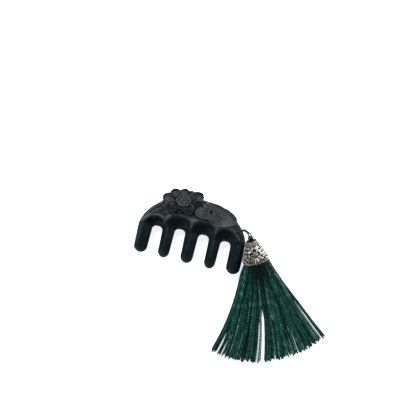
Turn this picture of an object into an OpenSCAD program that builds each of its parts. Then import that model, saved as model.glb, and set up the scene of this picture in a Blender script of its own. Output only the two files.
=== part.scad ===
// Scalp massage comb carved in one piece from dark wood: a thick grip crown with a lotus in relief
// and five rounded teeth. A looped cord through the crown's shoulder holds a bead, a metal bell cap
// and a tassel. The comb lies on its flat back; +X runs along the comb, +Y from the teeth to the
// crown, +Z up through the carved front. The origin is the middle of the crown's back.

/* [Crown] */
// Width of the comb across the outer teeth
comb_w = 110; // [104:1:114]
// Height of the crown's arch above its widest line
crown_rise = 41; // [39:1:43]
// From the crown's widest line down to the tooth tips
tooth_drop = 24; // [22:1:26]
// Width of the rounding along the crown's back edge
back_round = 4; // [3:0.5:5]

/* [Teeth] */
// Thickness of a tooth where it leaves the crown
root_thick = 13.6; // [13:0.2:14]
// Thickness of a tooth near its tip
tip_thick = 11.4; // [10:0.2:12]
// Length of a tooth's round end
tip_round = 6.4; // [5:0.2:7]
// Top of the gaps between the teeth, below the origin
gap_top = 13.5; // [12.5:0.5:14]
// Radius of the corners at the top of a gap
gap_corner = 4; // [2:0.5:4.5]
// Bevel along the edges of a gap and of a tooth's root
gap_bevel = 2.6; // [2:0.2:3]

/* [Gouged arches] */
// Radius of the round gouge over each gap, whose crisp rims meet in cusps
gouge_r = 18; // [17:0.5:19]
// Height of the gouge's centre over the back
gouge_z = 29; // [28:0.5:30]
// Distance of the gouge's centre below the origin
gouge_drop = 15.9; // [15:0.1:17]

/* [Lotus relief] */
// Radius of the seed pod's face
pod_r = 7.4; // [6.5:0.1:7.6]
// Tilt of the seed pod towards the crown's top edge, degrees
pod_tilt = 38; // [30:2:40]
// Thickness of a lobe of the lotus leaf
leaf_thick = 4; // [3.5:0.25:4.5]
// Diameter of the beads in the border along the shoulders
border_bead_d = 1.9; // [1.5:0.1:2.2]

/* [Cord and bead] */
// Diameter of one strand of the looped cord
cord_d = 1.7; // [1.4:0.1:1.8]
// Diameter of the cord's hole through the shoulder
hole_d = 2.8; // [2.4:0.2:3.2]
// Diameter of the bead
bead_d = 5.6; // [5.2:0.2:6]
// Diameter of the bead's bore
bead_bore = 3.8; // [3.6:0.1:4]

/* [Bell cap] */
// Radius of the bell's narrow end
cap_top_r = 5.3; // [5:0.1:5.6]
// Radius of the bell's rim
cap_rim_r = 13.2; // [12.6:0.2:13.6]
// Length of the bell along its axis
cap_l = 21; // [20:0.5:22]
// Wall of the bell
cap_wall = 1; // [0.8:0.1:1.2]

/* [Tassel] */
// Length of the threads from the bell's rim to their ends
skirt_l = 103; // [98:1:105]
// Number of locks in the fan
lock_count = 20; // [18:2:22]
// Thickness of the fan near its ends
fan_thick = 3; // [2.4:0.2:3.6]

/* [Hidden] */

half_w = comb_w / 2;
crown_cy = -crown_rise / 2;
tip_y = crown_cy - tooth_drop;
root_y = -gap_top - gap_corner;

// Slope of the crown's front above the teeth, degrees
front_slope = 40;

// The crown's edge from back to front: height over the back, and inset from the outline
CROWN_LAYERS = [
    // z, inset
    [0, back_round],
    [1.2, back_round * 0.42],
    [4, 0],
    [9, 0],
    [12, 1.0],
    [15, 3.3],
    [18, 8],
    [20.2, 15.5],
    [21.2, 26]
];

// Teeth from left to right: centre, width, foot of the arris, and the cusp that the arris runs up to
TOOTH = [
    // x, width, arris x, cusp x, cusp y
    [-47.8, 14.4, -50.4, -49.4, -12.0],
    [-24.0, 12.4, -24.8, -28.0, -7.2],
    [-0.4, 13.4, -1.0, -2.2, -5.6],
    [23.3, 12.2, 22.7, 22.4, -5.8],
    [47.3, 15.0, 50.0, 48.6, -11.5]
];
// Middles of the gouges along X, from left to right
GOUGE = [-39.0, -15.0, 10.0, 36.4];

// Petals of the lotus: centre, length, width, thickness, direction of the tip in plan and its rise
PETAL = [
    // x, y, z, length, width, thick, turn, lift
    [-31.0, 13.6, 14.0, 17, 10, 6, 152, -10],
    [-24.0, 18.5, 12.5, 16, 12, 6, 122, -10],
    [-15.8, 20.0, 11.5, 14, 13, 6, 95, -12],
    [-7.5, 19.3, 12.5, 16, 13, 6, 66, -10],
    [0.5, 15.8, 15.0, 15, 11, 6, 32, -10],
    [-1.6, 11.0, 18.0, 12, 9, 5, -18, -5],
    [-31.2, 8.0, 16.6, 14, 11, 6, 192, -10],
    [-26.2, 5.0, 18.4, 14, 12, 6, 232, -10],
    [-18.2, 5.8, 19.6, 12, 10, 5.5, 264, -12],
    [-9.8, 8.6, 19.4, 13, 12, 6, 300, -12]
];

// Seed pod: middle of its body, its thickness, and the rings of seed cells in its face
POD_AT = [-16, 13.6, 17];
pod_thick = 6;
pod_cell_r = 0.8;
POD_RINGS = [
    // radius, count
    [0, 1],
    [2.7, 5],
    [5.4, 9]
];

// Beaded border along the shoulders: from one angle of the crown's outline to another
BORDERS = [
    // from, to, count
    [165, 131, 13],
    [50, 37, 6]
];
border_inset = 2.4;
border_z = 14.2;

// Round lotus leaf: the pit where its veins meet, and the lobes that make its wavy rim
LEAF_PIT = [13.4, 9.6, 21];
LEAF_LOBE = [
    // turn, reach from the pit, z, width
    [-170, 13.0, 18.6, 8],
    [-146, 12.5, 18.6, 7],
    [-118, 10.0, 18.8, 7],
    [-88, 9.6, 18.8, 7],
    [-60, 11.5, 18.6, 7],
    [-38, 15.8, 17.2, 7],
    [-18, 19.0, 15.4, 7],
    [-1, 18.8, 14.6, 6],
    [17, 14.6, 14.2, 6],
    [44, 9.2, 15.0, 6],
    [84, 6.0, 15.6, 7],
    [126, 7.2, 16.4, 7],
    [158, 9.6, 17.6, 7]
];

// Narrow leaves on the left shoulder and beside the bloom: centre, length, width, thickness, turn
SIDE_LEAF = [
    // x, y, z, length, width, thick, turn, lift
    [-45.0, -5.5, 14.2, 16, 6, 5, 40, 12],
    [-38.5, 1.2, 16.2, 12, 6, 5, 28, 10],
    [-8.5, 0.2, 20.2, 12, 5, 3.4, 205, 0],
    [-1.5, -3.6, 19.6, 13, 4.6, 4, 252, -4]
];

// Bell cap: its slope and heading, and the middle of its rim, which touches the surface, and of
// its narrow end
cap_slope = 20;
cap_heading = -62;
cap_rim_z = cap_rim_r * cos(cap_slope) + 0.05;
cap_rim_at = [67.3, -25.3, cap_rim_z];
cap_axis = [cos(cap_slope) * cos(cap_heading), cos(cap_slope) * sin(cap_heading), -sin(cap_slope)];
cap_top_at = cap_rim_at - cap_l * cap_axis;
// The bead's mouth sits on the bell's narrow end
bead_at = cap_top_at - (sqrt(pow(bead_d, 2) - pow(bead_bore, 2)) / 2 + 0.3) * cap_axis;
// The threads' head: from here down the bell's axis, and this far clear of its wall
head_from = 8;
head_gap = 0.4;

// Cord's hole: middle of the mouth in the front and of the mouth in the side
HOLE_FRONT = [43.6, -3.8, 16];
HOLE_SIDE = [47.4, -0.4, 9];

// Route of the cord's loop: from the threads' head out of the bell, through the bead, over the
// shoulder, down through the hole and back again
ROUTE = [
    [60.7, -14.8, 16.9],
    [57.9, -9.5, 19.1],
    [56.1, -6.3, 20.5],
    [55.1, -4.5, 21.1],
    [53.2, -2.1, 21.2],
    [50.3, -0.4, 20.2],
    [47.4, -0.8, 19.2],
    [45.0, -2.6, 19.2],
    [43.2, -4.3, 18.6],
    [42.8, -4.6, 17.1],
    [44.2, -3.3, 14.8],
    [45.6, -2.0, 12.4],
    [47.0, -0.8, 10.0],
    [48.7, 0.8, 8.6],
    [50.6, 0.9, 9.8],
    [52.4, -0.1, 12.8],
    [54.0, -0.8, 16.4],
    [55.5, -1.4, 19.6],
    [56.4, -2.4, 21.0],
    [56.9, -3.8, 21.1],
    [57.8, -5.5, 20.5],
    [59.5, -8.7, 19.1],
    [62.3, -14.0, 16.9]
];
ROUTE_STEPS = 2;
CORD_SIDES = 8;

// Fan of the tassel in its own frame: s runs from the rim along the bell's heading, t to its right
FAN_START = 11.6;
FAN_SPREAD = [-0.02, 0.35];
FAN_CURVE = [-0.00145, 0.0023];
LOCK_STATIONS = [0.08, 0.32, 0.55, 0.78, 1];
// Lengths of neighbouring locks differ a little, in a pattern that repeats
LOCK_TRIM = [0, 1.5, -1, 2.2, 0.6, -0.4, 1.8];
// The fan parts a little left of its middle, and near both edges
SPLIT = [
    // lock position from -1 to 1, half width of the parting at the ends
    [0.0, 1.6],
    [-0.84, 1.2],
    [0.92, 1.4]
];

// Skirt under the rim: distance from the rim, reach to the left and right, height
SKIRT = [
    // s, left, right, height
    [10, 15.2, 14.6, 16.5],
    [22, 21.0, 18.6, 10.5],
    [36, 28.6, 23.4, 5.6],
    [50, 36.0, 29.0, 2.6]
];

function mix(a, b, f) = a + (b - a) * f;

// Point on a smooth curve through four neighbouring points
function spline(a, b, c, d, f) =
    0.5 * (2 * b + (c - a) * f + (2 * a - 5 * b + 4 * c - d) * f * f
        + (3 * b - a - 3 * c + d) * f * f * f);

function route_point(i, f) =
    spline(ROUTE[max(i - 1, 0)], ROUTE[i], ROUTE[i + 1], ROUTE[min(i + 2, len(ROUTE) - 1)], f);

function unit(v) = v / norm(v);

// Sideways position in the fan of the thread that starts at q, from -1 to 1, at distance s
function fan_t(q, s) =
    FAN_START * q + (FAN_SPREAD[0] + FAN_SPREAD[1] * q) * s
        + (FAN_CURVE[0] + FAN_CURVE[1] * q) * s * s;

// Distance along the heading at which a thread of length l from the rim ends
function fan_end(q, l, s = 90, tries = 9) =
    tries == 0 ? s : fan_end(q, l, (s + sqrt(max(l * l - pow(fan_t(q, s), 2), 1))) / 2, tries - 1);

function split_gap(q, f) =
    f < 0.4 ? 0 : (f - 0.4) / 0.6 * max([for (p = SPLIT) abs(q - p[0]) < 1.5 / lock_count ? p[1] : 0]);

function height_at(s) = fan_thick + 16 * exp(-s / 15);

// Ellipsoid given by its full sizes, turned in plan and raised at its tip
module pebble(p, sides) {
    translate([p[0], p[1], p[2]])
        rotate([0, -p[7], p[6]])
            scale([p[3] / 2, p[4] / 2, p[5] / 2])
                sphere(r = 1, $fn = sides);
}

// Petal or narrow leaf: a pebble drawn out to a blunt tip
module petal(p, sides) {
    hull() {
        pebble(p, sides);
        translate([p[0], p[1], p[2]])
            rotate([0, -p[7], p[6]])
                translate([p[3] * 0.46, 0, p[5] * 0.1])
                    sphere(r = p[5] * 0.22, $fn = 6);
    }
}

module crown() {
    intersection() {
        hull()
            for (row = CROWN_LAYERS)
                translate([0, crown_cy, row[0]])
                    scale([half_w - row[1], crown_rise - row[1], 1])
                        cylinder(r = 1, h = 0.01, $fn = 56);
        translate([-half_w - 1, root_y, -1])
            cube([comb_w + 2, crown_rise + 4, 40]);
        // The crown's front slopes down to the teeth
        translate([-half_w - 1, root_y, root_thick - gap_bevel])
            rotate([front_slope, 0, 0])
                translate([0, -60, -60])
                    cube([comb_w + 2, 140, 60]);
    }
}

// Foot of the arris where it comes out of the tooth
module arris_foot(row) {
    translate([row[2], root_y, root_thick - 3])
        scale([1.5, 4, 4])
            sphere(r = 1, $fn = 10);
}

module tooth(row) {
    hull() {
        for (side = [-1, 1])
            for (z = [gap_bevel + 1.4, root_thick - gap_bevel - 2.2])
                translate([row[0] + side * (row[1] / 2 - gap_bevel - 1.4), root_y + 1, z])
                    sphere(r = gap_bevel + 1.4, $fn = 10);
        translate([row[0], tip_y + tip_round, tip_thick / 2])
            scale([row[1] / 2 - 0.4, tip_round, tip_thick / 2])
                sphere(r = 1, $fn = 16);
        arris_foot(row);
    }
    // Arris that runs from the tooth up to the cusp between two gouges
    hull() {
        arris_foot(row);
        translate([row[3], row[4], root_thick / 2 + 1])
            scale([1.8, 3, root_thick / 2 + 1.2])
                sphere(r = 1, $fn = 12);
    }
}

// Round-topped gap between two teeth, at one height and widened by a bevel
module gap_layer(wide, bevel, z) {
    translate([0, 0, z])
        linear_extrude(height = 0.01)
            offset(r = gap_corner + bevel, $fn = 16)
                translate([-wide / 2 + gap_corner, -14])
                    square([wide - 2 * gap_corner, 14 - gap_corner]);
}

module gap_slot(left, right) {
    middle = (left[0] + left[1] / 2 + right[0] - right[1] / 2) / 2;
    wide = right[0] - right[1] / 2 - left[0] - left[1] / 2;
    translate([middle, -gap_top, 0]) {
        hull() {
            gap_layer(wide, gap_bevel, -0.1);
            gap_layer(wide, 0, gap_bevel);
        }
        hull() {
            gap_layer(wide, 0, gap_bevel - 0.1);
            gap_layer(wide, 0, root_thick - 2 * gap_bevel);
        }
        hull() {
            gap_layer(wide, 0, root_thick - 2 * gap_bevel - 0.1);
            gap_layer(wide, 2 * gap_bevel, root_thick + gap_bevel);
        }
    }
}

module gouge(x) {
    translate([x, -gouge_drop, gouge_z])
        sphere(r = gouge_r, $fn = 32);
}

module seed_pod() {
    translate(POD_AT)
        rotate([-pod_tilt, 0, 0])
            difference() {
                cylinder(h = pod_thick, r1 = pod_r - 2, r2 = pod_r, center = true, $fn = 20);
                for (row = POD_RINGS)
                    for (i = [0:row[1] - 1])
                        rotate(360 * i / row[1])
                            translate([row[0], 0, pod_thick / 2])
                                cylinder(h = 2 * pod_cell_r, r = pod_cell_r, center = true, $fn = 5);
            }
}

module lotus_leaf() {
    difference() {
        union()
            for (row = LEAF_LOBE)
                hull() {
                    translate(LEAF_PIT - [0, 0, leaf_thick / 2])
                        scale([1, 1, 0.6])
                            sphere(d = leaf_thick, $fn = 8);
                    translate([
                        LEAF_PIT[0] + row[1] * cos(row[0]),
                        LEAF_PIT[1] + row[1] * sin(row[0]),
                        row[2]
                    ])
                        rotate(row[0])
                            scale([row[3] / 2, row[3] / 2, leaf_thick / 2])
                                sphere(r = 1, $fn = 10);
                }
        translate(LEAF_PIT + [0, 0, 0.4])
            sphere(r = 2, $fn = 10);
    }
}

module border(row) {
    for (i = [0:row[2] - 1]) {
        turn = mix(row[0], row[1], i / (row[2] - 1));
        translate([
            (half_w - border_inset) * cos(turn),
            crown_cy + (crown_rise - border_inset) * sin(turn),
            border_z
        ])
            sphere(d = border_bead_d, $fn = 6);
    }
}

module cord_hole() {
    way = unit(HOLE_SIDE - HOLE_FRONT);
    hull() {
        translate(HOLE_FRONT - 4 * way)
            sphere(d = hole_d, $fn = 10);
        translate(HOLE_SIDE + 4 * way)
            sphere(d = hole_d, $fn = 10);
    }
}

module comb() {
    color("#1a2224")
        difference() {
            union() {
                difference() {
                    crown();
                    for (i = [0:3]) {
                        gap_slot(TOOTH[i], TOOTH[i + 1]);
                        gouge(GOUGE[i]);
                    }
                }
                for (row = TOOTH)
                    tooth(row);
                for (row = PETAL)
                    petal(row, 12);
                for (row = SIDE_LEAF)
                    petal(row, 10);
                seed_pod();
                lotus_leaf();
                for (row = BORDERS)
                    border(row);
            }
            cord_hole();
            translate([-half_w - 1, tip_y - 1, -20])
                cube([comb_w + 2, comb_w, 20]);
        }
}

// One ring of the cord's tube, square to the route's direction
function ring(at, way) =
    let (
        side = unit(cross(way, abs(way[2]) > 0.9 ? [1, 0, 0] : [0, 0, 1])),
        up = cross(side, way)
    )
    [for (k = [0:CORD_SIDES - 1])
        at + cord_d / 2 * (cos(360 * k / CORD_SIDES) * side + sin(360 * k / CORD_SIDES) * up)];

module hang_cord() {
    path = concat(
        [for (i = [0:len(ROUTE) - 2]) for (k = [0:ROUTE_STEPS - 1]) route_point(i, k / ROUTE_STEPS)],
        [ROUTE[len(ROUTE) - 1]]
    );
    last = len(path) - 1;
    rings = [for (i = [0:last]) ring(path[i], unit(path[min(i + 1, last)] - path[max(i - 1, 0)]))];
    walls = [for (i = [0:last - 1]) for (k = [0:CORD_SIDES - 1])
        let (a = i * CORD_SIDES + k, b = i * CORD_SIDES + (k + 1) % CORD_SIDES)
        each [[a, b, b + CORD_SIDES], [a, b + CORD_SIDES, a + CORD_SIDES]]];
    ends = [
        [for (k = [CORD_SIDES - 1:-1:0]) k],
        [for (k = [0:CORD_SIDES - 1]) last * CORD_SIDES + k]
    ];
    color("#14493f")
        polyhedron(points = [for (r = rings) for (p = r) p], faces = concat(walls, ends), convexity = 8);
}

// Turns and moves a child that is built along +Z from the bell's narrow end
module on_cap_axis(at) {
    translate(at)
        rotate([0, 90 + cap_slope, cap_heading])
            children();
}

module bead() {
    color("#0b0b0d")
        on_cap_axis(bead_at)
            difference() {
                sphere(d = bead_d, $fn = 32);
                cylinder(h = bead_d + 2, d = bead_bore, center = true, $fn = 32);
            }
}

module tassel_cap() {
    color("#8f8b84")
        on_cap_axis(cap_top_at)
            rotate_extrude($fn = 48)
                polygon([
                    [bead_bore / 2, 0],
                    [cap_top_r - 0.5, 0],
                    [cap_top_r, 0.7],
                    [mix(cap_top_r, cap_rim_r, 0.53), cap_l * 0.46],
                    [cap_rim_r - 0.25, cap_l - 1.8],
                    [cap_rim_r, cap_l - 1.4],
                    [cap_rim_r, cap_l],
                    [cap_rim_r - cap_wall, cap_l],
                    [mix(cap_top_r, cap_rim_r, 0.53) - cap_wall, cap_l * 0.46],
                    [cap_top_r - cap_wall * 0.8, cap_wall * 1.2],
                    [bead_bore / 2, cap_wall * 1.2]
                ]);
}

// Thin slab across the fan at distance s, from one side to the other, from just under the
// surface up to a height
module fan_slab(s, left, right, height, slab_sides = 6) {
    low = -0.35 * height;
    translate([s, (left + right) / 2, (height + low) / 2])
        rotate([90, 0, 90])
            scale([(right - left) / 2, (height - low) / 2, 1])
                cylinder(r = 1, h = 0.6, center = true, $fn = slab_sides);
}

// The threads' head inside the bell, and the round skirt that comes out of it
module tassel_head() {
    on_cap_axis(cap_top_at)
        hull() {
            translate([0, 0, head_from])
                cylinder(r = cap_top_r + 1.2, h = 0.1, $fn = 24);
            translate([0, 0, cap_l - 0.5])
                cylinder(r = cap_rim_r - cap_wall - head_gap, h = 0.5, $fn = 24);
        }
}

module skirt() {
    hull() {
        tassel_head_end();
        skirt_row(SKIRT[0]);
    }
    for (i = [0:len(SKIRT) - 2])
        hull() {
            skirt_row(SKIRT[i]);
            skirt_row(SKIRT[i + 1]);
        }
}

module tassel_head_end() {
    on_cap_axis(cap_rim_at - 0.3 * cap_axis)
        cylinder(r = cap_rim_r - cap_wall - head_gap, h = 0.2, $fn = 24);
}

module in_fan() {
    translate([cap_rim_at[0], cap_rim_at[1], 0])
        rotate(cap_heading)
            children();
}

module skirt_row(row) {
    in_fan()
        fan_slab(row[0], -row[1], row[2], row[3], 16);
}

module lock(i) {
    q = mix(-1, 1, (i + 0.5) / lock_count);
    step = 1 / lock_count;
    reach = fan_end(q, skirt_l - LOCK_TRIM[i % len(LOCK_TRIM)]);
    in_fan()
        for (k = [0:len(LOCK_STATIONS) - 2])
            hull()
                for (f = [LOCK_STATIONS[k], LOCK_STATIONS[k + 1]]) {
                    s = reach * f;
                    shy = split_gap(q, f);
                    near = fan_t(q - step, s) + (f > 0.5 ? shy : -0.3);
                    far = fan_t(q + step, s) - (f > 0.5 ? shy : -0.3);
                    fan_slab(s, near, far, height_at(s));
                }
}

module tassel() {
    color("#14493f")
        difference() {
            union() {
                tassel_head();
                skirt();
                for (i = [0:lock_count - 1])
                    lock(i);
            }
            // The threads lie flat on the surface
            translate([0, -skirt_l - 60, -40])
                cube([2 * skirt_l, skirt_l + 80, 40]);
        }
}

comb();
hang_cord();
bead();
tassel_cap();
tassel();
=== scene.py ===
import math
import random
from contextlib import contextmanager

import bpy
import numpy
from bpy.props import FloatProperty, FloatVectorProperty, IntProperty, PointerProperty
from mathutils import Matrix, Vector
from mathutils.bvhtree import BVHTree


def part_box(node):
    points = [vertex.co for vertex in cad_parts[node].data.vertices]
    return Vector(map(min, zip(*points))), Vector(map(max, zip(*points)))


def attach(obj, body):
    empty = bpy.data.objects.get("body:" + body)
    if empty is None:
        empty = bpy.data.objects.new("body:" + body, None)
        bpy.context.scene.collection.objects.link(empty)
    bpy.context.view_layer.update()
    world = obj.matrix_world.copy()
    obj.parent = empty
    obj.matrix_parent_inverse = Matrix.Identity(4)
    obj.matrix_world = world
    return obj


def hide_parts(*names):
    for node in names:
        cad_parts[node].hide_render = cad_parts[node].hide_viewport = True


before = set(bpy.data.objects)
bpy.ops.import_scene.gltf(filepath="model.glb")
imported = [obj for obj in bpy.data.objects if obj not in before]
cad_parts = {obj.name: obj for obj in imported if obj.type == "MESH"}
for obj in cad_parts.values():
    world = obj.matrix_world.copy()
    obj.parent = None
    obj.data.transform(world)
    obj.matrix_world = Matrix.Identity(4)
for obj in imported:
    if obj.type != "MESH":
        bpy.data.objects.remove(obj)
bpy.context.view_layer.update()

bl_info = {
    "name": "Scalp massage comb",
    "version": (1, 0, 0),
    "blender": (4, 5, 0),
    "location": "3D View > Sidebar > Comb",
    "description": "Builds a carved wooden scalp massage comb with a bell capped tassel",
    "category": "Add Mesh",
}

MM = 0.001
UP = Vector((0, 0, 1))
# Points closer than this are merged into one, in metres
MERGE = 2e-6

# The comb lies on its back: +X along it, +Y from the teeth to the crown, +Z up, in millimetres
COMB_LOW, COMB_HIGH = (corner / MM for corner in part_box("comb"))
# Rubbing down takes this much off each side again
RUBBED_OFF = 0.1
HALF_W = (COMB_HIGH.x - COMB_LOW.x) / 2 + RUBBED_OFF
# The crown is the upper part of an ellipse: its rise, and its middle along Y
CROWN_RISE = 41.0
CROWN_CY = -CROWN_RISE / 2
# Where the teeth begin and end along Y
ROOT_Y = -17.5
TIP_Y = -44.9
# How far the top of each gap lies below the middle, from left to right
GAP_TOP = [15.4, 13.5, 13.5, 14.7]
# Cut that makes a gap: its length, the rounding of its top corners, and its flare at the back
GAP_DEEP = 14.0
GAP_CORNER = 4.0
GAP_BEVEL = 2.6
# Teeth: thickness at the root and at the tip, and length of the rounded tip
ROOT_THICK = 13.6
TIP_THICK = 11.4
TIP_ROUND = 6.4
# Slope in degrees of the cut from the crown's front down to the teeth
FRONT_SLOPE = 40
# The crown's edge from back to front: height, inset from the outline
CROWN_LAYERS = [(0, 4), (1.2, 1.7), (4, 0), (9, 0), (12, 1), (15, 3.3), (18, 8), (20.2, 15.5), (21.2, 26)]
# Teeth from left to right: centre, width, foot of the arris, cusp that the arris runs up to
TOOTH = [
    (-47.8, 14.4, -50.4, -49.4, -12.0),
    (-24.0, 12.4, -24.8, -28.0, -7.2),
    (-0.4, 13.4, -1.0, -2.2, -5.6),
    (23.3, 12.2, 22.7, 22.4, -5.8),
    (47.3, 15.0, 50.0, 48.6, -11.5),
]
# Gouges from left to right: middle and radius of the ball that they follow, and the angles between
# which their rim carries a moulding
GOUGE = [
    (-39.4, -16.6, 22.8, 12.2, 176, 44),
    (-15.0, -15.9, 29.0, 18.0, 136, 36),
    (10.0, -15.9, 29.0, 18.0, 138, 40),
    (34.0, -17.0, 29.0, 18.0, 130, 16),
]
# A gouge runs out along the teeth as a ball drawn out this many times
GOUGE_RUN = 4.5
# Spots painted paler on the body, the round leaf and the carving: x, y, size, amount
PALE_SPOTS = [(-1.4, -2.4, 3.6, 0.56), (-27.0, -4.4, 3.0, 0.3), (23.5, -3.4, 3.0, 0.4), (-44.0, -4.0, 5.0, 0.25)]
LEAF_PALE_SPOTS = [(30.0, 5.0, 9.0, 0.26), (3.0, 6.0, 6.0, 0.12)]
CARVING_PALE_SPOTS = [(44.0, -9.0, 7.0, 0.22), (24.0, -4.0, 5.0, 0.3), (-47.0, -8.0, 6.0, 0.3)]
# The cord's hole, from the shoulder's front to its side
HOLE_FRONT = Vector((43.6, -3.8, 16))
HOLE_SIDE = Vector((47.4, -0.4, 9))
HOLE_D = 2.8

# Bell cap: it lies on its rim, and its axis runs from the narrow end to the rim
CAP_SLOPE = math.radians(20)
CAP_HEADING = math.radians(-62)
# Radius of its rim, its length and the thickness of its wall
CAP_RIM_R = 13.2
CAP_L = 21.0
CAP_WALL = 1.0
CAP_AXIS = Vector((
    math.cos(CAP_SLOPE) * math.cos(CAP_HEADING),
    math.cos(CAP_SLOPE) * math.sin(CAP_HEADING),
    -math.sin(CAP_SLOPE),
))
CAP_RIM_AT = Vector((67.3, -25.3, CAP_RIM_R * math.cos(CAP_SLOPE) + 0.05))
CAP_TOP_AT = CAP_RIM_AT - CAP_L * CAP_AXIS
# The bell's own +X turns to the side that shows
CAP_TURN = Matrix((
    (UP - CAP_AXIS * CAP_AXIS.z).normalized(), CAP_AXIS.cross(UP).normalized(), CAP_AXIS,
)).transposed().to_4x4()
# The bead sits just above the bell's narrow end, on its axis
BEAD_D = 5.6
BEAD_BORE = 3.8
BEAD_GAP = 0.3
BEAD_AT = CAP_TOP_AT - (math.sqrt(BEAD_D ** 2 - BEAD_BORE ** 2) / 2 + BEAD_GAP) * CAP_AXIS

# Route of the cord's loop, from the threads' head through bead and shoulder and back, in metres
ROUTE = [
    (0.0607, -0.0148, 0.0169),
    (0.0579, -0.0095, 0.0191),
    (0.0561, -0.0063, 0.0205),
    (0.0551, -0.0045, 0.0211),
    (0.0532, -0.0021, 0.0212),
    (0.0503, -0.0004, 0.0202),
    (0.0474, -0.0008, 0.0192),
    (0.0450, -0.0026, 0.0192),
    (0.0432, -0.0043, 0.0186),
    (0.0428, -0.0046, 0.0171),
    (0.0442, -0.0033, 0.0148),
    (0.0456, -0.0020, 0.0124),
    (0.0470, -0.0008, 0.0100),
    (0.0487, 0.0008, 0.0086),
    (0.0506, 0.0009, 0.0098),
    (0.0524, -0.0001, 0.0128),
    (0.0540, -0.0008, 0.0164),
    (0.0555, -0.0014, 0.0196),
    (0.0564, -0.0024, 0.0210),
    (0.0569, -0.0038, 0.0211),
    (0.0578, -0.0055, 0.0205),
    (0.0595, -0.0087, 0.0191),
    (0.0623, -0.0140, 0.0169),
]

# Petals of the lotus: x, y, z of the middle, length, width, turn of the tip, lift, cup, tip curl, and
# how many beads lie along the rim
PETAL = [
    (-21.8, 17.0, 13.6, 15.5, 14.0, 110, -8, 0.6, 0.3, 0),
    (-30.0, 13.4, 15.4, 15.5, 13.0, 162, -12, 0.9, 0.5, 0),
    (-24.2, 17.7, 15.4, 16, 15.0, 127, -9, 1.0, 0.4, 0),
    (-16.4, 19.2, 15.0, 16, 16.0, 90, -8, 1.0, 0.4, 0),
    (-10.4, 19.0, 15.2, 15, 14.0, 82, -8, 1.0, 0.4, 0),
    (-3.8, 19.7, 16.0, 16, 14.5, 54, -9, 1.0, 0.5, 0),
    (0.6, 14.6, 17.4, 11, 8.4, -8, -10, 0.6, 0.2, 0),
    (-30.6, 8.8, 18.0, 14, 11.0, 190, -10, 0.9, 0.4, 0),
    (-25.6, 6.8, 20.0, 13, 12.8, 222, -7, 1.1, 0.3, 13),
    (-23.8, 5.8, 21.0, 8.5, 7.8, 240, -5, 0.8, 0.2, 0),
    (-17.4, 5.8, 21.0, 8.5, 7.0, 264, -5, 0.8, 0.2, 0),
    (-9.4, 7.6, 21.0, 10.8, 11.4, 292, -4, 1.1, 0.3, 13),
]
# Narrow leaves with a midrib: x, y, length, width, turn, how far the middle stands up
BLADE = [
    (-47.4, -8.6, 15, 4.6, 50, 1.0),
    (-38.6, -0.4, 13, 5.0, 30, 1.1),
    (-33.0, -1.8, 9, 4.0, 344, 0.8),
    (-22.6, -0.4, 9, 4.0, 350, 0.7),
]
# Seed pod: middle, tilt, radius at the top and at the foot, depth, and radius of the ring that its
# outer cells stand on, of a cell and of a seed
POD_AT = Vector((-16, 13.2, 19.2))
POD_TILT = math.radians(-38)
POD_R = 7.4
POD_FOOT_R = 5.2
POD_DEEP = 6
POD_RING_R = 4.45
CELL_R = 1.85
SEED_R = 0.8
POD_PLACE = Matrix.Translation(POD_AT * MM) @ Matrix.Rotation(POD_TILT, 4, "X")
# Round leaf: its pit, and its rim as turn and reach from the pit
LEAF_PIT = Vector((13.4, 9.6))
LEAF_RIM = [
    (-166, 17.0), (-151, 15.2), (-137, 12.4), (-122, 9.8), (-104, 8.5), (-87, 9.8), (-72, 13.4),
    (-42, 17.9), (-19, 25.2), (-9, 27.6), (-1, 26.6), (11, 22.0), (33, 14.4), (60, 11.0), (88, 10.0),
    (127, 11.5), (149, 9.5), (172, 13.5), (194, 17.0),
]
# Its veins as two ends and a depth
LEAF_VEIN = [
    ((17.4, 9.9), (29.2, 2.2), 0.6), ((20.6, 10.6), (35.6, 8.7), 0.5), ((16.2, 11.6), (26.5, 14.6), 0.3),
    ((15.6, 6.8), (20.4, -2.6), 0.3), ((13.6, 6.2), (13.9, 0.8), 0.25), ((10.2, 7.2), (1.5, 3.6), 0.45),
    ((15.2, 12.4), (17.6, 17.4), 0.3), ((12.2, 12.6), (10.4, 18.0), 0.3), ((9.6, 9.6), (-2.5, 8.6), 0.25),
    ((24.2, 5.6), (32.5, 5.0), 0.3), ((27.5, 9.8), (33.5, 12.2), 0.25),
]
# The fold where its upper edge rolls over
LEAF_FOLD = [(3.0, 16.6), (5.4, 14.2), (7.6, 12.4), (9.8, 11.2)]
# Borders on the shoulders, outermost first: angles from and to, count, inset from the outline, and the
# three radii of a bead or of a slanting strand of rope
BEAD_SIZE = (0.85, 0.85, 0.8)
STRAND_SIZE = (0.55, 1.25, 0.75)
BORDER = [
    (165, 131, 17, 3.0, BEAD_SIZE),
    (44, 10, 26, 2.0, BEAD_SIZE),
    (40, 12, 21, 4.1, STRAND_SIZE),
    (35, 15, 14, 6.3, BEAD_SIZE),
]


# Helpers that the operators share


def plain_start():
    """Leaves edit mode and deselects everything."""
    if bpy.context.object and bpy.context.object.mode != "OBJECT":
        bpy.ops.object.mode_set(mode="OBJECT")
    bpy.ops.object.select_all(action="DESELECT")


def pick(*pieces):
    """Selects the pieces alone, with the first one active."""
    plain_start()
    for piece in pieces:
        piece.select_set(True)
    bpy.context.view_layer.objects.active = pieces[0]


def fix_place(piece):
    """Puts the piece's place, turn and scale into its mesh."""
    pick(piece)
    bpy.ops.object.transform_apply(location=True, rotation=True, scale=True)
    return piece


def put(piece, matrix):
    """Moves the piece and keeps its new place in its mesh."""
    piece.matrix_world = matrix @ piece.matrix_world
    return fix_place(piece)


def primitive(add, **settings):
    """Adds a mesh primitive with its operator, at its size and place."""
    add(**settings)
    return fix_place(bpy.context.object)


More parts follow.
